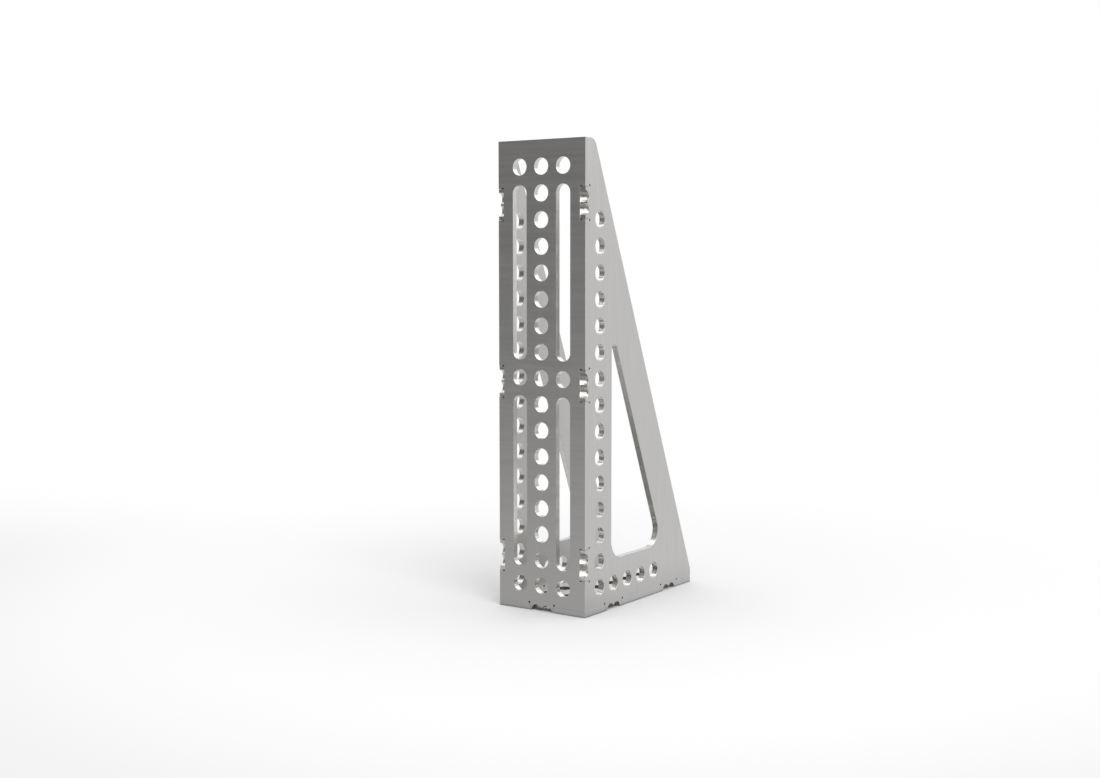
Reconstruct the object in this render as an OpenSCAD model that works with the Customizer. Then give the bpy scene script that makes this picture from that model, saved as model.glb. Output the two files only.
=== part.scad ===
// Perforated clamping square for a welding table: four laser-cut plates that
// lock into each other with tabs and notches, welded along the inner corners.
// The front face looks to -Y and the foot stands on Z = 0.

/* [Body] */
// Height of the square
height = 450; // [300:25:700]
// Width across the perforated front
width = 100; // [100:25:200]
// Depth of the foot, from the front face to the heel
depth = 200; // [150:25:300]
// Thickness of all four plates
plate_t = 6; // [4:0.5:8]

/* [Side plates] */
// Depth of a side plate at its top, from the front face
top_depth = 16; // [14:1:30]
// Height of the upright heel at the rear
heel_height = 14; // [10:1:30]
// Radius of the corner between the top and the slanted edge
top_radius = 10; // [4:1:12]
// Radius where the slanted edge runs into the heel
heel_radius = 10; // [2:1:20]

/* [Window] */
// Distance from the front face to the window
window_front = 46; // [42:1:60]
// Height of the window's sill above the table
window_sill = 49; // [42:1:70]
// Width of the band between the window and the slanted edge
slant_band = 40; // [30:1:50]
// Radius of the two lower corners of the window
window_radius = 17; // [8:1:20]
// Radius of the window's apex
apex_radius = 5; // [3:0.5:8]

/* [Hole pattern] */
// Diameter of the system holes, also the width of the slots
hole_d = 16; // [12:0.5:18]
// Distance between neighbouring holes
pitch = 25; // [22:1:30]
// Distance from the foot and from the front face to the first holes
hole_edge = 25; // [20:1:30]
// Least metal between the outer columns of holes and the sides
edge_web = 11; // [9:1:15]
// Length of the foot that is drilled on each side plate, from the front face
foot_run = 125; // [50:25:150]
// Least metal between a side hole and the slanted edge
slant_web = 8; // [5:1:15]

/* [Tab joints] */
// Number of tabs along each upright joint
tab_count = 3; // [2:1:5]
// Length of the tabs on the side plates
tab_length = 29.4; // [27:0.2:32]
// Length of the tab at the front plate's lower edge
sill_tab_length = 26.4; // [24:0.2:30]
// Height of the lowest upright tab's middle
tab_first = 50; // [40:1:70]
// Distance of the highest upright tab's middle from the top
tab_last = 60; // [44:1:80]
// Distance of the first foot tab's middle from the front face
foot_tab_first = 50.5; // [40:0.5:60]
// Distance of the last foot tab's middle from the heel
foot_tab_last = 44.5; // [43:0.5:60]
// Gap between the end of a tab and its notch
tab_gap = 0.2; // [0.1:0.1:1]
// Distance that a tab stays below the outer face of the plate it stands through
tab_recess = 0.5; // [0:0.1:1]
// Flat lip left at each end of a side plate's tab beside its weld scallops
tab_lip = 3.4; // [1:0.1:4.5]
// Flat lip left at each end of the front plate's tab
sill_tab_lip = 1.1; // [0.5:0.1:3]
// Depth of the cusp between the two scallops of a tab
cusp_depth = 3.5; // [2:0.1:4]
// Width of the cusp's blunt tip
cusp_width = 1.8; // [0.5:0.1:2.4]
// Radius of the relief in a notch's inner corners
notch_relief_r = 1.1; // [0.5:0.1:1.5]
// Diameter of the vent holes beside each tab
vent_d = 2; // [1.5:0.1:3]
// Distance from the end of a tab to its vent hole's middle
vent_gap = 1.3; // [1:0.1:4]
// Distance of the vent holes behind the joint
vent_inset = 1.4; // [1:0.1:3]

/* [Welds] */
// Leg of the fillet welds
weld_leg = 4.5; // [3:0.5:6]
// Length of one stitch of weld
stitch_length = 24; // [18:1:26]
// Length of seam that each stitch holds between two tabs
stitch_pitch = 60; // [45:5:120]

/* [Hidden] */
$fn = 64;

front_y = -depth / 2;
rear_y = depth / 2;
side_x = width / 2;
joint_y = front_y + plate_t;
inner_x = side_x - plate_t;
steel = [0.74, 0.74, 0.73];
weld_steel = [0.60, 0.59, 0.57];
cut = 1;
root = 0.5;

// The slanted edge leans forward by this much for each millimetre of height
lean = (depth - top_depth) / (height - heel_height);
lean_cos = cos(atan(lean));

// Hole pattern, counted from the foot and from the front face
column_count = floor((width - hole_d - 2 * edge_web) / pitch) + 1;
column_span = (column_count - 1) * pitch;
columns = [for (k = [0 : column_count - 1]) k * pitch - column_span / 2];
row_count = floor((height - 2 * hole_edge) / pitch) + 1;
middle_row = ceil(row_count / 2);
base_row_count = floor((depth - 2 * hole_edge) / pitch) + 1;
foot_hole_count = floor((foot_run - hole_edge) / pitch) + 1;

// Middles of the tabs, spread evenly between the first and the last
tab_step = (height - tab_first - tab_last) / (tab_count - 1);
upright_tabs = [for (k = [0 : tab_count - 1]) tab_first + k * tab_step];
foot_tabs = [front_y + foot_tab_first, rear_y - foot_tab_last];

// Middles of the stitches, spread between the vent holes along each seam
vent_reach = tab_length / 2 + vent_gap + vent_d / 2;
sill_vent_reach = sill_tab_length / 2 + vent_gap + vent_d / 2;
upright_stitches = concat(
    [
        for (k = [1 : tab_count - 1])
            each stitches(upright_tabs[k - 1] + vent_reach, upright_tabs[k] - vent_reach)
    ],
    stitches(upright_tabs[tab_count - 1] + vent_reach, height)
);
foot_stitches = concat(
    stitches(foot_tabs[0] + vent_reach, foot_tabs[1] - vent_reach),
    stitches(foot_tabs[1] + vent_reach, rear_y)
);
sill_stitches = stitches(sill_vent_reach, inner_x);

function stitches(from, to) =
    let (count = max(1, floor((to - from) / stitch_pitch)))
    [for (k = [1 : count]) from + (k - 0.5) * (to - from) / count];
function row_z(row) = hole_edge + (row - 1) * pitch;
function slant_y(z) = rear_y - (z - heel_height) * lean;
function slant_distance(y, z) = (slant_y(z) - y) * lean_cos;

// Geometry of a rounded corner at p, between its neighbours a and b
function unit(v) = v / norm(v);
function half_angle(a, p, b) = acos(unit(a - p) * unit(b - p)) / 2;
function tangent_point(a, p, b, r) = p + unit(a - p) * r / tan(half_angle(a, p, b));
function round_centre(a, p, b, r) =
    p + unit(unit(a - p) + unit(b - p)) * r / sin(half_angle(a, p, b));
// Radius r, or the largest that still fits on the short edge from p to b
function fitted_radius(a, p, b, r) = min(r, 0.95 * norm(b - p) * tan(half_angle(a, p, b)));

// Tip of a corner that lies beyond its rounding arc
module corner_tip(a, p, b, r) {
    centre = round_centre(a, p, b, r);
    difference() {
        polygon([tangent_point(a, p, b, r), 2 * p - centre, tangent_point(b, p, a, r)]);
        translate(centre)
            circle(r = r);
    }
}

// Convex outline with true arcs in its corners
module rounded_outline(points, radii) {
    n = len(points);
    difference() {
        polygon(points);
        for (i = [0 : n - 1])
            if (radii[i] > 0)
                corner_tip(points[(i + n - 1) % n], points[i], points[(i + 1) % n], radii[i]);
    }
}

// Tab that stands out from a joint line at y = 0 towards +Y
module tab(length) {
    translate([-length / 2, -root])
        square([length, plate_t - tab_recess + root]);
}

// Two weld scallops in a tab's end, and the vent holes beside the tab
module tab_cuts(length, lip) {
    half = length / 2 - lip;
    tip = cusp_width / 2;
    centre = (half * half - tip * tip - cusp_depth * cusp_depth) / (2 * (half - tip));
    for (side = [-1, 1]) {
        translate([side * centre, plate_t])
            circle(r = half - centre);
        translate([side * (length / 2 + vent_gap), -vent_inset])
            circle(d = vent_d);
    }
    translate([-cusp_width, plate_t - cusp_depth])
        square([2 * cusp_width, plate_t]);
}

// Notch in a plate's edge at y = 0, with a round relief in each inner corner
module notch(length) {
    reach = length / 2 + tab_gap;
    translate([-reach, -plate_t])
        square([2 * reach, plate_t + cut]);
    for (side = [-1, 1])
        translate([side * reach, notch_relief_r - plate_t])
            circle(r = notch_relief_r);
}

// Slot between two holes of one column
module slot(from_row, to_row) {
    translate([-hole_d / 2, row_z(from_row)])
        square([hole_d, row_z(to_row) - row_z(from_row)]);
    for (row = [from_row, to_row])
        translate([0, row_z(row)])
            circle(d = hole_d);
}

// Outer columns: single holes at the ends and the middle, slots between them
module slotted_column() {
    for (row = [1, middle_row, row_count])
        translate([0, row_z(row)])
            circle(d = hole_d);
    slot(2, middle_row - 1);
    slot(middle_row + 1, row_count - 1);
}

module drilled_column() {
    for (row = [1 : row_count])
        translate([0, row_z(row)])
            circle(d = hole_d);
}

module front_sketch() {
    difference() {
        union() {
            translate([-side_x, plate_t])
                square([width, height - plate_t]);
            translate([0, plate_t])
                rotate(180)
                    tab(sill_tab_length);
        }
        translate([0, plate_t])
            rotate(180)
                tab_cuts(sill_tab_length, sill_tab_lip);
        for (z = upright_tabs, side = [-1, 1])
            translate([side * side_x, z])
                rotate(-side * 90)
                    notch(tab_length);
        for (k = [0 : column_count - 1])
            translate([columns[k], 0])
                if (k == 0 || k == column_count - 1)
                    slotted_column();
                else
                    drilled_column();
    }
}

module window_sketch() {
    front = front_y + window_front;
    band = slant_band / lean_cos;
    sill_end = slant_y(window_sill) - band;
    apex = window_sill + (sill_end - front) / lean;
    rounded_outline(
        [[front, window_sill], [sill_end, window_sill], [front, apex]],
        [window_radius, window_radius, apex_radius]
    );
}

// Holes up the front edge and along the foot, where the slanted edge leaves room
module side_holes() {
    first_y = front_y + hole_edge;
    room = hole_d / 2 + slant_web;
    for (row = [1 : row_count])
        if (slant_distance(first_y, row_z(row)) >= room)
            translate([first_y, row_z(row)])
                circle(d = hole_d);
    for (k = [1 : foot_hole_count - 1])
        if (slant_distance(first_y + k * pitch, hole_edge) >= room)
            translate([first_y + k * pitch, hole_edge])
                circle(d = hole_d);
}

module side_sketch() {
    heel_foot = [rear_y, plate_t];
    heel_top = [rear_y, heel_height];
    top_rear = [front_y + top_depth, height];
    top_front = [joint_y, height];
    heel_r = fitted_radius(top_rear, heel_top, heel_foot, heel_radius);
    top_r = fitted_radius(heel_top, top_rear, top_front, top_radius);
    difference() {
        union() {
            rounded_outline(
                [[joint_y, plate_t], heel_foot, heel_top, top_rear, top_front],
                [0, 0, heel_r, top_r, 0]
            );
            for (z = upright_tabs)
                translate([joint_y, z])
                    rotate(90)
                        tab(tab_length);
            for (y = foot_tabs)
                translate([y, plate_t])
                    rotate(180)
                        tab(tab_length);
        }
        for (z = upright_tabs)
            translate([joint_y, z])
                rotate(90)
                    tab_cuts(tab_length, tab_lip);
        for (y = foot_tabs)
            translate([y, plate_t])
                rotate(180)
                    tab_cuts(tab_length, tab_lip);
        window_sketch();
        side_holes();
    }
}

module base_sketch() {
    difference() {
        translate([-side_x, front_y])
            square([width, depth]);
        for (x = columns, k = [0 : base_row_count - 1])
            translate([x, front_y + hole_edge + k * pitch])
                circle(d = hole_d);
        for (y = foot_tabs, side = [-1, 1])
            translate([side * side_x, y])
                rotate(-side * 90)
                    notch(tab_length);
        translate([0, front_y])
            rotate(180)
                notch(sill_tab_length);
    }
}

// Stitch of fillet weld along Z, in the corner between +X and +Y
module stitch() {
    sag = weld_leg / 2;
    bead_r = norm([weld_leg + sag, sag]);
    cap = sqrt(bead_r * bead_r - 2 * sag * sag);
    straight = stitch_length - 2 * cap;
    intersection() {
        translate([0, 0, -stitch_length / 2])
            cube([2 * weld_leg, 2 * weld_leg, stitch_length]);
        translate([-sag, -sag, 0]) {
            cylinder(r = bead_r, h = straight, center = true);
            for (end = [-1, 1])
                translate([0, 0, end * straight / 2])
                    sphere(r = bead_r);
        }
    }
}

module front_plate() {
    color(steel)
        translate([0, joint_y, 0])
            rotate([90, 0, 0])
                linear_extrude(plate_t)
                    front_sketch();
}

module right_side_plate() {
    color(steel)
        translate([inner_x, 0, 0])
            rotate([90, 0, 90])
                linear_extrude(plate_t)
                    side_sketch();
}

module left_side_plate() {
    mirror([1, 0, 0])
        right_side_plate();
}

module base_plate() {
    color(steel)
        linear_extrude(plate_t)
            base_sketch();
}

// Upright stitches between the front plate and the right side plate
module right_corner_welds() {
    color(weld_steel)
        for (z = upright_stitches)
            translate([inner_x, joint_y, z])
                mirror([1, 0, 0])
                    stitch();
}

module left_corner_welds() {
    mirror([1, 0, 0])
        right_corner_welds();
}

// Stitches between the base plate and the right side plate
module right_foot_welds() {
    color(weld_steel)
        for (y = foot_stitches)
            translate([inner_x, y, plate_t])
                rotate([90, 0, 0])
                    mirror([1, 0, 0])
                        stitch();
}

module left_foot_welds() {
    mirror([1, 0, 0])
        right_foot_welds();
}

// Stitches between the base plate and the front plate
module sill_welds() {
    color(weld_steel)
        for (x = sill_stitches, side = [-1, 1])
            translate([side * x, joint_y, plate_t])
                rotate([90, 0, 90])
                    stitch();
}

front_plate();
left_side_plate();
right_side_plate();
base_plate();
left_corner_welds();
right_corner_welds();
left_foot_welds();
right_foot_welds();
sill_welds();
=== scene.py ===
"""Fixture square for a welding table: four laser-cut plates of brushed steel and their weld stitches"""

import math

import bmesh
import bpy
from bpy.props import (
    FloatProperty,
    FloatVectorProperty,
    IntProperty,
    PointerProperty,
)
from mathutils import Matrix, Vector


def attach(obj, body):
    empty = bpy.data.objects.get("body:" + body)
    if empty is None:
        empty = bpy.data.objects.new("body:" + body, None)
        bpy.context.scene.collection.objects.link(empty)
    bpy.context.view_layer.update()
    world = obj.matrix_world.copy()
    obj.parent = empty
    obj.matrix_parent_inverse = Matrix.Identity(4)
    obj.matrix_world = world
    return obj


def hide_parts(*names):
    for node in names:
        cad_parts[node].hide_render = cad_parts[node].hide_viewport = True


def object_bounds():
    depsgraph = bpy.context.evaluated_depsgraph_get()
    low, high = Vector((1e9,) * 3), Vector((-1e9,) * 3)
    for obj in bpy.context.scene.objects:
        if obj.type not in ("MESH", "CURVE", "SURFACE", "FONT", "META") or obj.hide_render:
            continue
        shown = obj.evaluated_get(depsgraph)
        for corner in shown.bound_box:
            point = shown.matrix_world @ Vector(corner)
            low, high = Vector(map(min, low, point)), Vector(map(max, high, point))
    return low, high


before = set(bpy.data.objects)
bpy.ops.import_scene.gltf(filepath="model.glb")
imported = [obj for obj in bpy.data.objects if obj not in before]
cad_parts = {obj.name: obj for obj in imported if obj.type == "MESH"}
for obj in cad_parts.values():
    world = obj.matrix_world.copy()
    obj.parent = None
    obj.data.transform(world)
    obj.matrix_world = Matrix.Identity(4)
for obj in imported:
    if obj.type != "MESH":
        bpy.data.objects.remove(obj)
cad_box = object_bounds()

bl_info = {
    "name": "Welding Table Square",
    "version": (1, 0, 0),
    "blender": (4, 5, 0),
    "location": "View3D > Sidebar > Square",
    "description": "Finishes the plates and welds of a fixture square and sets it in a white studio",
    "category": "Object",
}

MM = 0.001
X = Vector((1, 0, 0))
Y = Vector((0, 1, 0))
Z = Vector((0, 0, 1))

# Plates: how their facets are told apart, and the material slots of the walls
MERGE_GAP = 1e-6
FLUSH_GAP = 1e-5
FLAT_ANGLE = math.radians(0.5)
SHARP_ANGLE = math.radians(35)
FACING = 0.99
SQUARELY_FACING = 0.999
NARROW_FACET = 2 * MM * MM
CUT_SLOT = 3
# Slot of the near-black painted shade on the walls of the vents and relieved corners
PAINTED_SHADE_SLOT = 4
BREAK_STEPS = 2

# Finishes: sizes of their patterns, and how far roughness swings to each side of its middle
NOISE_RANGE = (0.3, 0.7)
NOISE_ROUGHNESS = 0.6
FACE_SWING = 0.05
CUT_SWING = 0.03
CUT_PATCH = 4 * MM
CUT_SHADE = 0.9
DRAG_LENGTH = 30 * MM
NOTCH_NEAR = 0.3 * MM
NOTCH_FAR = 7 * MM
# Painted shade inside the vents and relieved corners: its patches, how much paler its palest patches are, and
# its roughness
PAINTED_SHADE_PATCH = 1 * MM
PAINTED_SHADE_PALER = 2
PAINTED_SHADE_ROUGHNESS = (0.6, 0.8)
WELD_SWING = 0.08
WELD_PATCH = 3 * MM
WELD_GRAIN = 0.3 * MM
WELD_GRAIN_DEPTH = 0.02 * MM
TINT_RANGE = (0.15, 0.95)

# Weld beads: their rows and steps, how far the round sinks into the corner, and their unevenness
BEAD_ROWS = 14
PIECES_PER_RIPPLE = 9
BEAD_SAG = 0.5
BEAD_MERGE_GAP = 0.002 * MM
WANDER_PATCH = 2.5 * MM
WANDER_MIDDLE = 0.75

# Lamps, and the soft boxes that metal shows: places, sizes, and the cosines between which each box comes in
KEY_PLACE = (1.7, -1.1, 2.0)
KEY_AIM = (0.0, 0.0, 0.1)
KEY_SIZE = 1.4
KEY_EDGE = (0.6, 0.95)
TOP_PLACE = (0.2, 0.3, 2.6)
TOP_AIM = (0.0, 0.0, 0.0)
TOP_SIZE = 2.0
TOP_EDGE = (0.7, 0.9)
REAR_BOX = (0.1, 0.8, 0.6)
REAR_EDGE = (0.82, 0.95)
SWEEP_LIFT = 0.5
SWEEP_RANGE = (-0.5, 0.6)

# Floor: depths along Y, distances from the middle of the foot, and reaches from the foot's outline
FLOOR_HALF = 15.0
FLOOR_DROP = 0.05 * MM
NEAR_DEPTH = (-0.2, 0.05)
FAR_DEPTH = (-0.55, 0.15)
FAR_DISTANCE = (0.4, 1.9)
# Reaches of the painted shade on the floor that metal shows, along the foot and right under the square
FOOT_REACH = 0.12
CONTACT_REACH = 0.004
PAINT_REACH = 0.006
# Where the painted shade on the floor towards the front lies
FALLOFF_DEPTH = (-0.4, 0.2)
FALLOFF_RISE = (0.4, 0.75)
FALLOFF_FADE = (0.75, 1.4)

SENSOR_WIDTH = 36
WHITE = (1, 1, 1, 1)
PAINT_COLOUR = (0.8, 0.8, 0.8, 1)


# Settings

class PlateFinish(bpy.types.PropertyGroup):
    """How the brushed faces and the laser-cut edges of the plates look"""

    edge_break: FloatProperty(
        name="Edge Break",
        description="Width of the small bevel along every cut edge",
        default=0.12 * MM,
        min=0.0,
        unit="LENGTH",
    )
    steel_colour: FloatVectorProperty(
        name="Steel Colour",
        description="Colour of the brushed faces",
        default=(0.56, 0.553, 0.54),
        subtype="COLOR",
        min=0.0,
        max=1.0,
    )
    streak_contrast: FloatProperty(
        name="Streak Contrast",
        description="How much darker the darkest brushed streaks are",
        default=0.1,
        subtype="FACTOR",
        min=0.0,
        max=1.0,
    )
    face_roughness: FloatProperty(
        name="Face Roughness",
        description="Middle roughness of the brushed faces",
        default=0.36,
        subtype="FACTOR",
        min=0.0,
        max=1.0,
    )
    brush_stretch: FloatProperty(
        name="Brush Stretch",
        description="How much the brushing stretches reflections across its grain",
        default=0.75,
        subtype="FACTOR",
        min=0.0,
        max=1.0,
    )
    streak_width: FloatProperty(
        name="Streak Width",
        description="Width of the broad streaks across the grain",
        default=2.4 * MM,
        unit="LENGTH",
    )
    streak_length: FloatProperty(
        name="Streak Length",
        description="Length of the broad streaks along the grain",
        default=70 * MM,
        unit="LENGTH",
    )
    scratch_width: FloatProperty(
        name="Scratch Width",
        description="Width of the fine brush scratches",
        default=0.35 * MM,
        unit="LENGTH",
    )
    scratch_length: FloatProperty(
        name="Scratch Length",
        description="Length of the fine brush scratches",
        default=18 * MM,
        unit="LENGTH",
    )
    scratch_depth: FloatProperty(
        name="Scratch Depth",
        description="Depth of the fine brush scratches",
        default=0.006 * MM,
        unit="LENGTH",
    )
    cut_colour: FloatVectorProperty(
        name="Cut Colour",
        description="Colour of the laser-cut edges and hole walls",
        default=(0.6, 0.592, 0.578),
        subtype="COLOR",
        min=0.0,
        max=1.0,
    )
    cut_roughness: FloatProperty(
        name="Cut Roughness",
        description="Middle roughness of the laser-cut edges",
        default=0.22,
        subtype="FACTOR",
        min=0.0,
        max=1.0,
    )
    # Near-black painted shade on the walls of the vents and relieved corners, standing in for the shade
    # inside them
    painted_shade_colour: FloatVectorProperty(
        name="Painted Shade Colour",
        description="Colour of the dark walls of the vents and relieved corners",
        default=(0.02, 0.019, 0.018),
        subtype="COLOR",
        min=0.0,
        max=1.0,
    )
    drag_width: FloatProperty(
        name="Drag Line Width",
        description="Spacing of the lines that the laser leaves across a cut edge",
        default=2.1 * MM,
        unit="LENGTH",
    )
    drag_depth: FloatProperty(
        name="Drag Line Depth",
        description="Depth of the lines across a cut edge",
        default=0.06 * MM,
        unit="LENGTH",
    )
    notch_drag_depth: FloatProperty(
        name="Notch Drag Line Depth",
        description="Depth of the lines in the notches of the outer seams",
        default=0.35 * MM,
        unit="LENGTH",
    )


class WeldFinish(bpy.types.PropertyGroup):
    """Shape and finish of the weld stitches inside the square"""

    ripple_pitch: FloatProperty(
        name="Ripple Pitch",
        description="Distance from one ripple of the bead to the next",
        default=1.3 * MM,
        unit="LENGTH",
    )
    ripple_depth: FloatProperty(
        name="Ripple Depth",
        description="Depth of the valleys between ripples",
        default=0.28 * MM,
        unit="LENGTH",
    )
    ripple_bow: FloatProperty(
        name="Ripple Bow",
        description="How far the middle of each ripple runs ahead of its ends",
        default=1.5 * MM,
        unit="LENGTH",
    )
    wander: FloatProperty(
        name="Wander",
        description="Unevenness of the bead's surface",
        default=0.16 * MM,
        unit="LENGTH",
    )
    seed: IntProperty(
        name="Seed",
        description="Picks the pattern of the unevenness",
        default=4,
    )
    bead_colour: FloatVectorProperty(
        name="Bead Colour",
        description="Colour of the clean weld metal",
        default=(0.46, 0.45, 0.44),
        subtype="COLOR",
        min=0.0,
        max=1.0,
    )
    tint_colour: FloatVectorProperty(
        name="Tint Colour",
        description="Colour of the straw heat tint on the weld metal",
        default=(0.4, 0.355, 0.285),
        subtype="COLOR",
        min=0.0,
        max=1.0,
    )
    bead_roughness: FloatProperty(
        name="Bead Roughness",
        description="Middle roughness of the weld metal",
        default=0.38,
        subtype="FACTOR",
        min=0.0,
        max=1.0,
    )


class StudioSettings(bpy.types.PropertyGroup):
    """Camera, lamps and backdrop of the white studio"""

    lens: FloatProperty(
        name="Lens",
        description="Focal length of the camera on a 36 mm sensor, in millimetres",
        default=48.76,
        min=1.0,
    )
    camera_place: FloatVectorProperty(
        name="Camera Place",
        description="Where the camera stands",
        default=(0.8156, -1.2524, 0.3345),
        subtype="TRANSLATION",
        unit="LENGTH",
    )
    azimuth: FloatProperty(
        name="Azimuth",
        description="How far the camera stands round to the right of the front face",
        default=math.radians(34.954),
        subtype="ANGLE",
        unit="ROTATION",
    )
    elevation: FloatProperty(
        name="Elevation",
        description="How far the camera looks down",
        default=math.radians(4.842),
        subtype="ANGLE",
        unit="ROTATION",
    )
    roll: FloatProperty(
        name="Roll",
        description="Turn of the camera about its own line of sight",
        default=math.radians(-0.036),
        subtype="ANGLE",
        unit="ROTATION",
    )
    key_power: FloatProperty(
        name="Key Power",
        description="Power of the large soft lamp at the front right, in watts",
        default=26.0,
        min=0.0,
    )
    top_power: FloatProperty(
        name="Top Power",
        description="Power of the soft lamp overhead, in watts",
        default=8.0,
        min=0.0,
    )
    sweep_light: FloatProperty(
        name="Sweep Light",
        description="Brightness of the white sweep behind the square, as metal shows it",
        default=1.0,
        min=0.0,
    )
    room_light: FloatProperty(
        name="Room Light",
        description="Brightness of the dim room in front of the square, as metal shows it",
        default=0.21,
        min=0.0,
    )
    key_glow: FloatProperty(
        name="Key Glow",
        description="Brightness of the key lamp's soft box, as metal shows it",
        default=4.0,
        min=0.0,
    )
    top_glow: FloatProperty(
        name="Top Glow",
        description="Brightness of the soft box overhead, as metal shows it",
        default=1.4,
        min=0.0,
    )
    rear_glow: FloatProperty(
        name="Rear Glow",
        description="Brightness of the soft box high behind the square, as metal shows it",
        default=1.2,
        min=0.0,
    )
    spill_share: FloatProperty(
        name="Spill Share",
        description="Share of its mirrored light that the metal throws back on the floor",
        default=0.2,
        subtype="FACTOR",
        min=0.0,
        max=1.0,
    )
    air_light: FloatProperty(
        name="Air Light",
        description="Even light from all round that softens the shadows",
        default=0.92,
        min=0.0,
    )
    floor_share: FloatProperty(
        name="Floor Share",
        description="Share of the near floor's white that comes from lit paint and takes shadows",
        default=0.92,
        subtype="FACTOR",
        min=0.0,
        max=1.0,
    )
    # Painted shade along the square's foot on the floor that metal shows
    foot_share: FloatProperty(
        name="Foot Share",
        description="Share of the near floor's brightness left beside the square's foot, as metal shows it",
        default=0.85,
        subtype="FACTOR",
        min=0.0,
        max=1.0,
    )
    # Painted shade right under the square on the floor that metal shows
    contact_share: FloatProperty(
        name="Contact Share",
        description="Share of the floor's brightness that is left right under the square, as metal shows it",
        default=0.15,
        subtype="FACTOR",
        min=0.0,
        max=1.0,
    )
    # Painted shade on the floor towards the front
    floor_falloff: FloatProperty(
        name="Floor Falloff",
        description="How much the floor's white falls off towards the front",
        default=0.12,
        subtype="FACTOR",
        min=0.0,
        max=1.0,
    )
    floor_light: FloatProperty(
        name="Floor Light",
        description="Brightness of the near floor in front of the square, as metal shows it",
        default=0.73,
        min=0.0,
    )
    lit_radius: FloatProperty(
        name="Lit Radius",
        description="Distance from the middle of the foot up to which the floor is lit paint",
        default=0.15,
        unit="LENGTH",
    )
    white_radius: FloatProperty(
        name="White Radius",
        description="Distance from the middle of the foot at which the floor has turned plain white",
        default=0.7,
        unit="LENGTH",
    )


# Node helpers

def add(tree, kind, settings=None, **inputs):
    """New node with its own settings and the values or links of its inputs"""
    node = tree.nodes.new(kind)
    for name, value in (settings or {}).items():
        setattr(node, name, value)
    for name, value in inputs.items():
        socket = node.inputs[int(name[1:])] if name[1:].isdigit() else node.inputs[name.replace("_", " ")]
        if isinstance(value, bpy.types.NodeSocket):
            tree.links.new(value, socket)
        else:
            socket.default_value = value
    return node


def maths(tree, operation, *values):
    """Output of a Math node on up to three values or links"""
    node = add(tree, "ShaderNodeMath", {"operation": operation})
    for socket, value in zip(node.inputs, values):
        if isinstance(value, bpy.types.NodeSocket):
            tree.links.new(value, socket)
        else:
            socket.default_value = value
    return node.outputs[0]


def vector_maths(tree, operation, *values):
    """Vector Math node on up to two values or links"""
    inputs = {f"i{place}": value for place, value in enumerate(values)}
    return add(tree, "ShaderNodeVectorMath", {"operation": operation}, **inputs)


def mix_shaders(tree, factor, *shaders):
    """Shader that runs from the first to the second, or to black, as the factor goes from 0 to 1"""
    inputs = {f"i{place}": shader for place, shader in enumerate(shaders, 1)}
    return add(tree, "ShaderNodeMixShader", Fac=factor, **inputs).outputs[0]


def new_material(name):
    """New metal material with its node tree and its shader"""
    material = bpy.data.materials.new(name)
    material.use_nodes = True
    tree = material.node_tree
    shader = tree.nodes["Principled BSDF"]
    shader.inputs["Metallic"].default_value = 1.0
    return material, tree, shader


def stretched_noise(tree, widths, detail=3.0):
    """Noise on Object coordinates, with the width of its patches along X, Y and Z"""
    place = add(tree, "ShaderNodeTexCoord")
    mapping = add(
        tree,
        "ShaderNodeMapping",
        Vector=place.outputs["Object"],
        Scale=tuple(1 / width for width in widths),
    )
    noise = add(
        tree,
        "ShaderNodeTexNoise",
        Vector=mapping.outputs["Vector"],
        Scale=1.0,
        Detail=detail,
        Roughness=NOISE_ROUGHNESS,
    )
    return noise.outputs["Fac"]


def ramp(tree, value, start, end, low, high, kind="SMOOTHSTEP"):
    """Value that goes from low to high while the input goes from start to end"""
    node = add(tree, "ShaderNodeMapRange", {"interpolation_type": kind}, Value=value)
    for name, number in (("From Min", start), ("From Max", end), ("To Min", low), ("To Max", high)):
        node.inputs[name].default_value = number
    return node.outputs["Result"]


def spread(tree, value, low, high):
    """Noise, which keeps near its middle, spread out from low to high"""
    return ramp(tree, value, *NOISE_RANGE, low, high, "LINEAR")


def shade(colour, share):
    """Colour with each of its channels multiplied by a share"""
    return tuple(channel * share for channel in colour)


def blend_colours(tree, factor, low, high):
    """Colour that runs from low to high as the factor goes from 0 to 1"""
    node = add(tree, "ShaderNodeMix", {"data_type": "RGBA"}, Factor=factor, i6=(*low, 1), i7=(*high, 1))
    return node.outputs[2]


def bump(tree, shader, height, depth):
    """Surface relief; the depth is a number or a link"""
    node = add(tree, "ShaderNodeBump", Height=height, Strength=1.0, Distance=depth)
    tree.links.new(node.outputs["Normal"], shader.inputs["Normal"])


# Materials

def brushed_face(name, along, across):
    """Brushed plate face: streaks and fine scratches that run along one axis"""
    finish = bpy.context.scene.plate_finish
    material, tree, shader = new_material(name)

    def widths(length, width):
        return tuple(length if axis == along else width for axis in "XYZ")

    streaks = stretched_noise(tree, widths(finish.streak_length, finish.streak_width), detail=4.0)
    scratches = stretched_noise(tree, widths(finish.scratch_length, finish.scratch_width), detail=2.0)
    light = tuple(finish.steel_colour)
    dark = shade(light, 1 - finish.streak_contrast)
    colour = blend_colours(tree, spread(tree, streaks, 0, 1), dark, light)
    tree.links.new(colour, shader.inputs["Base Color"])
    middle = finish.face_roughness
    rough = spread(tree, streaks, middle - FACE_SWING, middle + FACE_SWING)
    tree.links.new(rough, shader.inputs["Roughness"])
    crosswise = {axis: float(axis not in (along, across)) for axis in "XYZ"}
    tangent = add(tree, "ShaderNodeCombineXYZ", **crosswise)
    tree.links.new(tangent.outputs[0], shader.inputs["Tangent"])
    shader.inputs["Anisotropic"].default_value = finish.brush_stretch
    bump(tree, shader, scratches, finish.scratch_depth)
    return material


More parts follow.
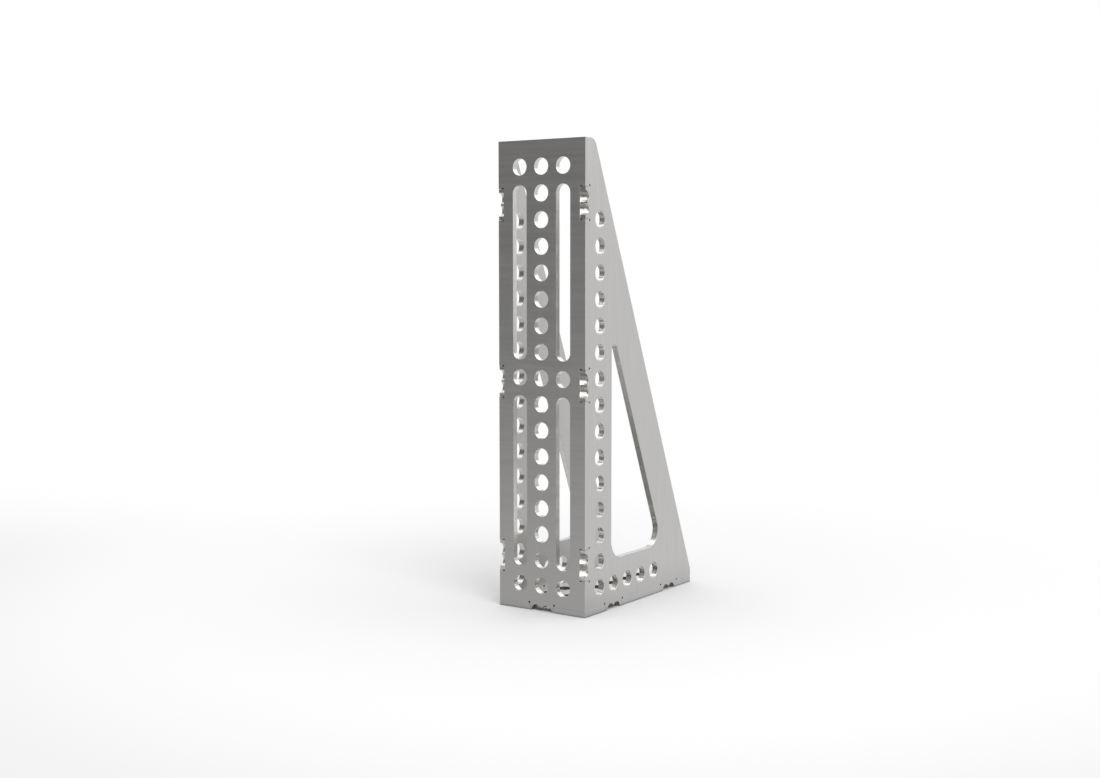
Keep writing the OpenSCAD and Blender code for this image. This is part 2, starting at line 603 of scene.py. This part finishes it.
def in_seam_notch(tree):
    """1 in the strips along the outer seams where the walls of the notches lie, otherwise 0"""
    low, high = cad_box
    place = add(tree, "ShaderNodeTexCoord").outputs["Object"]
    parts = add(tree, "ShaderNodeSeparateXYZ", Vector=place).outputs
    middle = (NOTCH_NEAR + NOTCH_FAR) / 2
    reach = (NOTCH_FAR - NOTCH_NEAR) / 2
    side = maths(tree, "COMPARE", maths(tree, "ABSOLUTE", parts["X"]), high[0] - middle, reach)
    front = maths(tree, "COMPARE", parts["Y"], low[1] + middle, reach)
    bottom = maths(tree, "COMPARE", parts["Z"], low[2] + middle, reach)
    planes = maths(tree, "ADD", maths(tree, "ADD", side, front), bottom)
    return maths(tree, "GREATER_THAN", planes, 1.5)


def cut_edge(name, thickness_axis):
    """Laser-cut wall: fine drag lines that run through the plate's thickness"""
    finish = bpy.context.scene.plate_finish
    material, tree, shader = new_material(name)
    widths = tuple(DRAG_LENGTH if axis == thickness_axis else finish.drag_width for axis in "XYZ")
    lines = stretched_noise(tree, widths)
    patches = stretched_noise(tree, (CUT_PATCH,) * 3, detail=2.0)
    light = tuple(finish.cut_colour)
    dark = shade(light, CUT_SHADE)
    colour = blend_colours(tree, spread(tree, patches, 0, 1), dark, light)
    tree.links.new(colour, shader.inputs["Base Color"])
    middle = finish.cut_roughness
    rough = spread(tree, lines, middle - CUT_SWING, middle + CUT_SWING)
    tree.links.new(rough, shader.inputs["Roughness"])
    deeper = finish.notch_drag_depth - finish.drag_depth
    bump(tree, shader, lines, maths(tree, "MULTIPLY_ADD", in_seam_notch(tree), deeper, finish.drag_depth))
    return material


def painted_shade_wall(name):
    """Dark wall of a vent or a relieved corner, painted near black as the shade inside these small hollows"""
    finish = bpy.context.scene.plate_finish
    material, tree, shader = new_material(name)
    patches = stretched_noise(tree, (PAINTED_SHADE_PATCH,) * 3)
    painted_dark = tuple(finish.painted_shade_colour)
    colour = blend_colours(tree, spread(tree, patches, 0, 1), painted_dark, shade(painted_dark, PAINTED_SHADE_PALER))
    tree.links.new(colour, shader.inputs["Base Color"])
    tree.links.new(spread(tree, patches, *PAINTED_SHADE_ROUGHNESS), shader.inputs["Roughness"])
    shader.inputs["Metallic"].default_value = 0.0
    return material


def weld_metal():
    """Weld metal: satin grey with patches of straw heat tint"""
    finish = bpy.context.scene.weld_finish
    material, tree, shader = new_material("weld_metal")
    patches = stretched_noise(tree, (WELD_PATCH,) * 3)
    grain = stretched_noise(tree, (WELD_GRAIN,) * 3, detail=2.0)
    colour = blend_colours(
        tree,
        spread(tree, patches, *TINT_RANGE),
        tuple(finish.tint_colour),
        tuple(finish.bead_colour),
    )
    tree.links.new(colour, shader.inputs["Base Color"])
    middle = finish.bead_roughness
    rough = spread(tree, patches, middle - WELD_SWING, middle + WELD_SWING)
    tree.links.new(rough, shader.inputs["Roughness"])
    bump(tree, shader, grain, WELD_GRAIN_DEPTH)
    return material


# Plates

def finishes():
    """Plate materials: brushed faces by the axis they face, cut walls by the axis of their thickness"""
    for across, along in (("X", "Z"), ("Y", "X"), ("Z", "Y")):
        name = f"brushed_{across.lower()}"
        if name not in bpy.data.materials:
            brushed_face(name, along, across)
            cut_edge(f"cut_{across.lower()}", across)
    # Painted shade for the walls of the vents and relieved corners
    if "painted_shade" not in bpy.data.materials:
        painted_shade_wall("painted_shade")
    return bpy.data.materials


def is_flush(face):
    """Whether a face lies in the square's front plane or in one of its side planes"""
    low, high = cad_box
    middle = face.calc_center_median()
    on_front = face.normal.y < -SQUARELY_FACING and middle.y < low[1] + FLUSH_GAP
    on_side = abs(face.normal.x) > SQUARELY_FACING and abs(middle.x) > high[0] - FLUSH_GAP
    return on_front or on_side


def dressed_plate(node, thickness):
    """Copy of a plate's solid, with flat faces made whole, edges broken and both finishes applied"""
    finish = bpy.context.scene.plate_finish
    axis = [abs(c) for c in thickness].index(1)
    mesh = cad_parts[node].data.copy()
    mesh.name = f"{node}_finished"
    materials = finishes()
    mesh.materials.clear()
    for name in ("brushed_x", "brushed_y", "brushed_z", f"cut_{'xyz'[axis]}", "painted_shade"):
        mesh.materials.append(materials[name])
    work = bmesh.new()
    work.from_mesh(mesh)
    bmesh.ops.remove_doubles(work, verts=work.verts, dist=MERGE_GAP)
    bmesh.ops.dissolve_limit(
        work,
        angle_limit=FLAT_ANGLE,
        verts=work.verts,
        edges=work.edges,
        delimit={"NORMAL"},
    )
    open_edges = sum(not edge.is_manifold for edge in work.edges)
    if open_edges:
        raise RuntimeError(f"{node} has {open_edges} open edges after its faces were joined")
    for face in work.faces:
        turned = [abs(c) for c in face.normal]
        if turned[axis] > FACING or is_flush(face):
            face.material_index = turned.index(max(turned))
        else:
            # Narrow facets, the walls of the vents and relieved corners, take the near-black painted shade
            face.material_index = PAINTED_SHADE_SLOT if face.calc_area() < NARROW_FACET else CUT_SLOT
        face.smooth = True
    work.to_mesh(mesh)
    work.free()
    mesh.set_sharp_from_angle(angle=SHARP_ANGLE)
    piece = bpy.data.objects.new(f"{node}_finished", mesh)
    bpy.context.scene.collection.objects.link(piece)
    bevel = piece.modifiers.new("Edge break", "BEVEL")
    bevel.width = finish.edge_break
    bevel.segments = BREAK_STEPS
    bevel.limit_method = "ANGLE"
    bevel.angle_limit = SHARP_ANGLE
    bevel.use_clamp_overlap = False
    bevel.harden_normals = True
    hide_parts(node)
    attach(piece, "root")
    return piece


class SQUARE_OT_front_plate(bpy.types.Operator):
    """Finish the perforated front plate, brushed across its width"""

    bl_idname = "square.front_plate"
    bl_label = "Front Plate"

    def execute(self, context):
        dressed_plate("front_plate", Y)
        return {"FINISHED"}


class SQUARE_OT_side_plates(bpy.types.Operator):
    """Finish the two triangular side plates, brushed up their height"""

    bl_idname = "square.side_plates"
    bl_label = "Side Plates"

    def execute(self, context):
        for node in ("left_side_plate", "right_side_plate"):
            dressed_plate(node, X)
        return {"FINISHED"}


class SQUARE_OT_base_plate(bpy.types.Operator):
    """Finish the drilled base plate, brushed along its depth"""

    bl_idname = "square.base_plate"
    bl_label = "Base Plate"

    def execute(self, context):
        dressed_plate("base_plate", Z)
        return {"FINISHED"}


# Weld stitches

def stitch_boxes(node):
    """Lowest and highest corner of each separate stitch in a weld node, sorted by place"""
    work = bmesh.new()
    work.from_mesh(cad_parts[node].data)
    bmesh.ops.remove_doubles(work, verts=work.verts, dist=MERGE_GAP)
    boxes = []
    left = set(work.verts)
    while left:
        reached = {left.pop()}
        edge_of_search = set(reached)
        while edge_of_search:
            edge_of_search = {
                edge.other_vert(vert) for vert in edge_of_search for edge in vert.link_edges
            } - reached
            reached |= edge_of_search
        left -= reached
        points = [vert.co for vert in reached]
        low = Vector([min(point[i] for point in points) for i in range(3)])
        high = Vector([max(point[i] for point in points) for i in range(3)])
        boxes.append((low, high))
    work.free()
    return sorted(boxes, key=lambda box: tuple(box[0]))


def bead_tree():
    """Geometry Nodes tree that lays a rippled fillet bead on each stitch's middle point"""
    tree = bpy.data.node_groups.new("Weld stitches", "GeometryNodeTree")
    tree.is_modifier = True
    sockets = tree.interface
    sockets.new_socket("Geometry", in_out="INPUT", socket_type="NodeSocketGeometry")
    for name, kind in (
        ("Turn", "NodeSocketRotation"),
        ("Length", "NodeSocketFloat"),
        ("Leg", "NodeSocketFloat"),
        ("Ripple Pitch", "NodeSocketFloat"),
        ("Ripple Depth", "NodeSocketFloat"),
        ("Ripple Bow", "NodeSocketFloat"),
        ("Wander", "NodeSocketFloat"),
        ("Seed", "NodeSocketInt"),
        ("Material", "NodeSocketMaterial"),
    ):
        sockets.new_socket(name, in_out="INPUT", socket_type=kind)
    sockets.new_socket("Geometry", in_out="OUTPUT", socket_type="NodeSocketGeometry")
    given = add(tree, "NodeGroupInput").outputs

    def calc(operation, *values):
        return maths(tree, operation, *values)

    # Grid whose first and last rows lie in the corner, so that it closes on itself
    ripples = calc("DIVIDE", given["Length"], given["Ripple Pitch"])
    steps = calc("ROUND", calc("MULTIPLY", ripples, PIECES_PER_RIPPLE))
    grid = add(
        tree,
        "GeometryNodeMeshGrid",
        Size_X=given["Length"],
        Size_Y=float(BEAD_ROWS - 1),
        Vertices_X=steps,
        Vertices_Y=BEAD_ROWS,
    )
    place = add(tree, "ShaderNodeSeparateXYZ", Vector=add(tree, "GeometryNodeInputPosition").outputs[0])
    along = place.outputs["X"]
    row = calc("ROUND", calc("ADD", place.outputs["Y"], (BEAD_ROWS - 1) / 2))
    across = calc("DIVIDE", calc("SUBTRACT", row, 1.0), BEAD_ROWS - 3.0)
    across = calc("MINIMUM", calc("MAXIMUM", across, 0.0), 1.0)
    angle = calc("MULTIPLY", across, math.pi / 2)
    inner = calc("MULTIPLY", calc("GREATER_THAN", row, 0.5), calc("LESS_THAN", row, BEAD_ROWS - 1.5))

    # Round bead with its middle behind the corner, and ball ends that run out to nothing
    sag = calc("MULTIPLY", given["Leg"], BEAD_SAG)
    sag_square = calc("MULTIPLY", sag, sag)
    reach = calc("ADD", given["Leg"], sag)
    bead_square = calc("ADD", calc("MULTIPLY", reach, reach), sag_square)
    cap_square = calc("SUBTRACT", bead_square, calc("MULTIPLY", sag_square, 2.0))
    straight_half = calc("SUBTRACT", calc("MULTIPLY", given["Length"], 0.5), calc("SQRT", cap_square))
    into_end = calc("MAXIMUM", calc("SUBTRACT", calc("ABSOLUTE", along), straight_half), 0.0)
    lean = calc("ADD", calc("SINE", angle), calc("COSINE", angle))
    lean_sag = calc("MULTIPLY", lean, sag)
    room = calc("ADD", cap_square, calc("MULTIPLY", lean_sag, lean_sag))
    left = calc("SUBTRACT", room, calc("MULTIPLY", into_end, into_end))
    radius = calc("MAXIMUM", calc("SUBTRACT", calc("SQRT", calc("MAXIMUM", left, 0.0)), lean_sag), 0.0)

    # Crescent ripples
    bow = calc("MULTIPLY", given["Ripple Bow"], calc("SINE", calc("MULTIPLY", across, math.pi)))
    phase = calc("DIVIDE", calc("ADD", along, bow), given["Ripple Pitch"])
    crest = calc("ABSOLUTE", calc("SINE", calc("MULTIPLY", phase, math.pi)))
    valley = calc("MULTIPLY", calc("SUBTRACT", 1.0, crest), given["Ripple Depth"])
    fade = calc("DIVIDE", radius, given["Leg"])
    rippled = calc("SUBTRACT", radius, calc("MULTIPLY", valley, fade))
    radius = calc("MULTIPLY", calc("MAXIMUM", rippled, 0.0), inner)
    bead_place = add(
        tree,
        "ShaderNodeCombineXYZ",
        X=calc("MULTIPLY", radius, calc("COSINE", angle)),
        Y=calc("MULTIPLY", radius, calc("SINE", angle)),
        Z=along,
    )
    bead = add(tree, "GeometryNodeSetPosition", Geometry=grid.outputs["Mesh"], Position=bead_place.outputs[0])
    closed = add(tree, "GeometryNodeMergeByDistance", Geometry=bead.outputs[0], Distance=BEAD_MERGE_GAP)

    # One bead on each middle point, then an unevenness that differs from stitch to stitch
    stitches = add(
        tree,
        "GeometryNodeInstanceOnPoints",
        Points=given["Geometry"],
        Instance=closed.outputs[0],
        Rotation=given["Turn"],
    )
    whole = add(tree, "GeometryNodeRealizeInstances", Geometry=stitches.outputs[0])
    noise = add(
        tree,
        "ShaderNodeTexNoise",
        {"noise_dimensions": "4D"},
        W=given["Seed"],
        Scale=1 / WANDER_PATCH,
        Detail=2.0,
    )
    shift = calc("MULTIPLY", calc("SUBTRACT", noise.outputs[0], WANDER_MIDDLE), given["Wander"])
    outward = add(tree, "GeometryNodeInputNormal").outputs[0]
    offset = add(tree, "ShaderNodeVectorMath", {"operation": "SCALE"}, i0=outward, Scale=shift)
    uneven = add(tree, "GeometryNodeSetPosition", Geometry=whole.outputs[0], Offset=offset.outputs[0])
    smooth = add(tree, "GeometryNodeSetShadeSmooth", Geometry=uneven.outputs[0])
    painted = add(tree, "GeometryNodeSetMaterial", Geometry=smooth.outputs[0], Material=given["Material"])
    add(tree, "NodeGroupOutput", Geometry=painted.outputs[0])
    return tree


def weld_row(node, first, second, tree, material):
    """Rippled beads in place of a weld node; first and second point out of the corner along its two plates"""
    finish = bpy.context.scene.weld_finish
    run = first.cross(second)
    boxes = stitch_boxes(node)
    middles = []
    for low, high in boxes:
        middle = (low + high) / 2
        for side in (first, second):
            axis = [abs(c) for c in side].index(1)
            middle[axis] = low[axis] if side[axis] > 0 else high[axis]
        middles.append(middle)
    low, high = boxes[0]
    size = high - low
    points = bpy.data.meshes.new(f"{node}_points")
    points.from_pydata(middles, [], [])
    row = bpy.data.objects.new(f"{node}_points", points)
    bpy.context.scene.collection.objects.link(row)
    modifier = row.modifiers.new("Weld stitches", "NODES")
    modifier.node_group = tree
    turn = Matrix((first, second, run)).transposed().to_euler()
    values = {
        "Turn": turn,
        "Length": abs(size.dot(run)),
        "Leg": abs(size.dot(first)),
        "Ripple Pitch": finish.ripple_pitch,
        "Ripple Depth": finish.ripple_depth,
        "Ripple Bow": finish.ripple_bow,
        "Wander": finish.wander,
        "Seed": finish.seed,
        "Material": material,
    }
    for item in tree.interface.items_tree:
        if item.in_out == "INPUT" and item.name in values:
            modifier[item.identifier] = values[item.name]
    bpy.context.view_layer.update()
    evaluated = row.evaluated_get(bpy.context.evaluated_depsgraph_get())
    mesh = bpy.data.meshes.new_from_object(evaluated)
    mesh.name = f"{node}_beads"
    bpy.data.objects.remove(row)
    beads = bpy.data.objects.new(f"{node}_beads", mesh)
    bpy.context.scene.collection.objects.link(beads)
    if not mesh.polygons:
        raise RuntimeError(f"no beads were made for {node}")
    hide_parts(node)
    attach(beads, "root")
    return beads


class SQUARE_OT_welds(bpy.types.Operator):
    """Lay the rippled weld stitches along the inner seams"""

    bl_idname = "square.welds"
    bl_label = "Weld Stitches"

    def execute(self, context):
        tree = bead_tree()
        material = weld_metal()
        for side, inward in (("left", X), ("right", -X)):
            weld_row(f"{side}_corner_welds", inward, Y, tree, material)
            weld_row(f"{side}_foot_welds", inward, Z, tree, material)
        weld_row("sill_welds", Y, Z, tree, material)
        return {"FINISHED"}


# Studio

def spill(tree, rays, settings):
    """Factor that holds back the light thrown on the floor by way of the metal"""
    return ramp(tree, rays.outputs["Diffuse Depth"], 0.0, 1.0, 1.0, settings.spill_share, "LINEAR")


def distance_outside(tree, place):
    """Distance of a point on the floor from the square's footprint"""
    low, high = cad_box
    half = (Vector(high) - Vector(low)) / 2
    away = vector_maths(tree, "ABSOLUTE", place)
    past = vector_maths(tree, "SUBTRACT", away.outputs[0], (half.x, half.y, 0))
    outside = vector_maths(tree, "MAXIMUM", past.outputs[0], (0, 0, 0))
    return vector_maths(tree, "LENGTH", outside.outputs[0]).outputs["Value"]


def mirrored_floor(tree, settings, depth, distance, outside):
    """Brightness of the floor as metal shows it, a glow in place of the lit floor: painted shade dark under
    the square and along its foot, light beside it, dim far in front
    """
    near = ramp(tree, depth, *NEAR_DEPTH, settings.floor_light, settings.sweep_light)
    # Painted shade along the foot and right under the square
    near = maths(tree, "MULTIPLY", near, ramp(tree, outside, 0.0, FOOT_REACH, settings.foot_share, 1.0))
    near = maths(tree, "MULTIPLY", near, ramp(tree, outside, 0.0, CONTACT_REACH, settings.contact_share, 1.0))
    sweep = ramp(tree, depth, *FAR_DEPTH, settings.room_light, settings.sweep_light)
    fade = ramp(tree, distance, *FAR_DISTANCE, 0.0, 1.0)
    return maths(tree, "MULTIPLY_ADD", maths(tree, "SUBTRACT", sweep, near), fade, near)


def white_floor(settings):
    """Pale floor: partly lit paint, which takes the shadow, and partly plain white for the camera"""
    material = bpy.data.materials.new("studio_floor")
    material.use_nodes = True
    tree = material.node_tree
    tree.nodes.clear()
    rays = add(tree, "ShaderNodeLightPath")
    camera = rays.outputs["Is Camera Ray"]
    place = add(tree, "ShaderNodeTexCoord").outputs["Object"]
    depth = add(tree, "ShaderNodeSeparateXYZ", Vector=place).outputs["Y"]
    distance = vector_maths(tree, "LENGTH", place).outputs["Value"]
    outside = distance_outside(tree, place)

    # Painted shade on the floor: its white falls off softly towards the front, and comes back far away
    rise = ramp(tree, distance, *FALLOFF_RISE, 0.0, settings.floor_falloff)
    in_front = ramp(tree, depth, *FALLOFF_DEPTH, 1.0, 0.0)
    fade = ramp(tree, distance, *FALLOFF_FADE, 1.0, 0.0)
    falloff = maths(tree, "MULTIPLY", fade, maths(tree, "MULTIPLY", rise, in_front))

    # Glow that metal sees on the floor, with its painted shade at the foot
    mirrored = mirrored_floor(tree, settings, depth, distance, outside)
    mirrored = maths(tree, "MULTIPLY", mirrored, spill(tree, rays, settings))
    strength = maths(tree, "MAXIMUM", mirrored, camera)
    white = add(tree, "ShaderNodeEmission", Color=WHITE, Strength=strength).outputs[0]
    paint = add(tree, "ShaderNodeBsdfDiffuse", Color=PAINT_COLOUR).outputs[0]
    beside = ramp(tree, outside, 0.0, PAINT_REACH, 1.0, settings.floor_share)
    around = ramp(tree, distance, settings.lit_radius, settings.white_radius, 1.0, 0.0)
    bright = mix_shaders(tree, maths(tree, "MULTIPLY", around, beside), white, paint)
    seen = mix_shaders(tree, camera, white, mix_shaders(tree, falloff, bright))
    surface = mix_shaders(tree, rays.outputs["Is Diffuse Ray"], seen, paint)
    add(tree, "ShaderNodeOutputMaterial", Surface=surface)
    return material


def studio_world(settings):
    """White to the camera; metal sees a white sweep behind the square and a dimmer room in front"""
    world = bpy.data.worlds.new("Studio")
    bpy.context.scene.world = world
    world.use_nodes = True
    tree = world.node_tree
    tree.nodes.clear()
    direction = add(tree, "ShaderNodeTexCoord").outputs["Generated"]
    parts = add(tree, "ShaderNodeSeparateXYZ", Vector=direction)
    upward = maths(tree, "MAXIMUM", parts.outputs["Z"], 0.0)
    behind = maths(tree, "MULTIPLY_ADD", upward, SWEEP_LIFT, parts.outputs["Y"])
    sweep = ramp(tree, behind, *SWEEP_RANGE, settings.room_light, settings.sweep_light)
    for aim, edge, glow in (
        (KEY_PLACE, KEY_EDGE, settings.key_glow),
        (Z, TOP_EDGE, settings.top_glow),
        (REAR_BOX, REAR_EDGE, settings.rear_glow),
    ):
        toward = vector_maths(tree, "DOT_PRODUCT", direction, Vector(aim).normalized())
        box = ramp(tree, toward.outputs["Value"], *edge, 0.0, glow)
        sweep = maths(tree, "ADD", sweep, box)
    rays = add(tree, "ShaderNodeLightPath")
    sweep = maths(tree, "MULTIPLY", sweep, spill(tree, rays, settings))
    shiny = maths(tree, "MAXIMUM", rays.outputs["Is Glossy Ray"], rays.outputs["Is Transmission Ray"])
    air = add(tree, "ShaderNodeBackground", Color=WHITE, Strength=settings.air_light).outputs[0]
    room = add(tree, "ShaderNodeBackground", Color=WHITE, Strength=sweep).outputs[0]
    white = add(tree, "ShaderNodeBackground", Color=WHITE, Strength=1.0).outputs[0]
    metal = mix_shaders(tree, shiny, air, room)
    seen = mix_shaders(tree, rays.outputs["Is Camera Ray"], metal, white)
    add(tree, "ShaderNodeOutputWorld", Surface=seen)


def soft_lamp(name, place, aim, size, power):
    """Square soft lamp that neither the camera nor metal sees"""
    data = bpy.data.lights.new(name, "AREA")
    data.shape = "SQUARE"
    data.size = size
    data.energy = power
    lamp = bpy.data.objects.new(name, data)
    lamp.location = place
    lamp.rotation_euler = (Vector(aim) - Vector(place)).to_track_quat("-Z", "Y").to_euler()
    lamp.visible_camera = False
    lamp.visible_glossy = False
    bpy.context.scene.collection.objects.link(lamp)


def photo_camera(settings):
    """Camera where the photo was taken from"""
    azimuth = settings.azimuth
    elevation = settings.elevation
    outward = Vector((math.sin(azimuth), -math.cos(azimuth), 0))
    back = outward * math.cos(elevation) + Z * math.sin(elevation)
    level_right = Z.cross(back).normalized()
    level_up = back.cross(level_right)
    straight = math.cos(settings.roll)
    tilted = math.sin(settings.roll)
    right = straight * level_right + tilted * level_up
    up = straight * level_up - tilted * level_right
    data = bpy.data.cameras.new("Camera")
    data.lens = settings.lens
    data.sensor_width = SENSOR_WIDTH
    camera = bpy.data.objects.new("Camera", data)
    turn = Matrix((right, up, back)).transposed().to_4x4()
    camera.matrix_world = Matrix.Translation(settings.camera_place) @ turn
    bpy.context.scene.collection.objects.link(camera)
    bpy.context.scene.camera = camera


class SQUARE_OT_stage(bpy.types.Operator):
    """Set up the camera, the lamps, the white floor and the world"""

    bl_idname = "square.stage"
    bl_label = "Studio"

    def execute(self, context):
        settings = context.scene.studio_settings
        context.scene.view_settings.view_transform = "Standard"
        photo_camera(settings)
        studio_world(settings)
        soft_lamp("Key", KEY_PLACE, KEY_AIM, KEY_SIZE, settings.key_power)
        soft_lamp("Top", TOP_PLACE, TOP_AIM, TOP_SIZE, settings.top_power)
        mesh = bpy.data.meshes.new("studio_floor")
        signs = ((-1, -1), (1, -1), (1, 1), (-1, 1))
        corners = [(x * FLOOR_HALF, y * FLOOR_HALF, -FLOOR_DROP) for x, y in signs]
        mesh.from_pydata(corners, [], [(0, 1, 2, 3)])
        mesh.materials.append(white_floor(settings))
        floor = bpy.data.objects.new("studio_floor", mesh)
        context.scene.collection.objects.link(floor)
        return {"FINISHED"}


class VIEW3D_PT_square(bpy.types.Panel):
    """Buttons and sizes of the fixture square"""

    bl_idname = "VIEW3D_PT_square"
    bl_label = "Welding Table Square"
    bl_space_type = "VIEW_3D"
    bl_region_type = "UI"
    bl_category = "Square"

    def draw(self, context):
        layout = self.layout
        for operator in OPERATORS:
            layout.operator(operator.bl_idname)
        for name in GROUPS:
            group = getattr(context.scene, name)
            box = layout.box()
            for key in group.bl_rna.properties.keys():
                if key not in ("rna_type", "name"):
                    box.prop(group, key)


OPERATORS = (
    SQUARE_OT_stage,
    SQUARE_OT_front_plate,
    SQUARE_OT_side_plates,
    SQUARE_OT_base_plate,
    SQUARE_OT_welds,
)
GROUPS = {
    "plate_finish": PlateFinish,
    "weld_finish": WeldFinish,
    "studio_settings": StudioSettings,
}
CLASSES = (*GROUPS.values(), *OPERATORS, VIEW3D_PT_square)


def register():
    for cls in CLASSES:
        bpy.utils.register_class(cls)
    for name, group in GROUPS.items():
        setattr(bpy.types.Scene, name, PointerProperty(type=group))


def unregister():
    for name in GROUPS:
        delattr(bpy.types.Scene, name)
    for cls in reversed(CLASSES):
        bpy.utils.unregister_class(cls)


def main():
    register()
    bpy.ops.square.stage()
    bpy.ops.square.front_plate()
    bpy.ops.square.side_plates()
    bpy.ops.square.base_plate()
    bpy.ops.square.welds()


if __name__ == "__main__":
    main()
